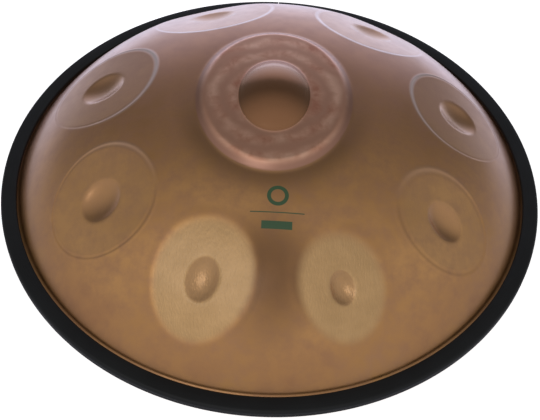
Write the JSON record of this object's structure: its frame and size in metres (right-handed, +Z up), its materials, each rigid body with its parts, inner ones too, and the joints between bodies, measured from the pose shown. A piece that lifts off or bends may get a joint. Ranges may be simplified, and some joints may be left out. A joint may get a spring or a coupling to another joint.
{
  "type": "handpan",
  "caption": "Steel hand drum of two domed shells bonded at a rubber-guarded rim, with dimpled oval tone fields around a raised centre dome and a round sound port beneath.",
  "frame": {"origin": "centre of the flat resting land round the sound port, on the surface the instrument stands on", "axes": "+Z up through the centre dome, +Y towards the back, where the largest tone fields are, +X to the player's right"},
  "size_m": [0.53, 0.53, 0.222],
  "materials": {
    "playing_steel": "nitrided bronze-brown sheet, hammered and finely brushed, satin",
    "base_steel": "nitrided bronze-brown sheet, finely brushed, satin",
    "adhesive": "cured grey-black adhesive, matte",
    "guard_rubber": "extruded black rubber, fine matte grain"
  },
  "bodies": {
    "root": {"top_shell": "playing_steel", "bottom_shell": "base_steel", "bond_ring": "adhesive", "rim_guard": "guard_rubber"}
  },
  "joints": []
}
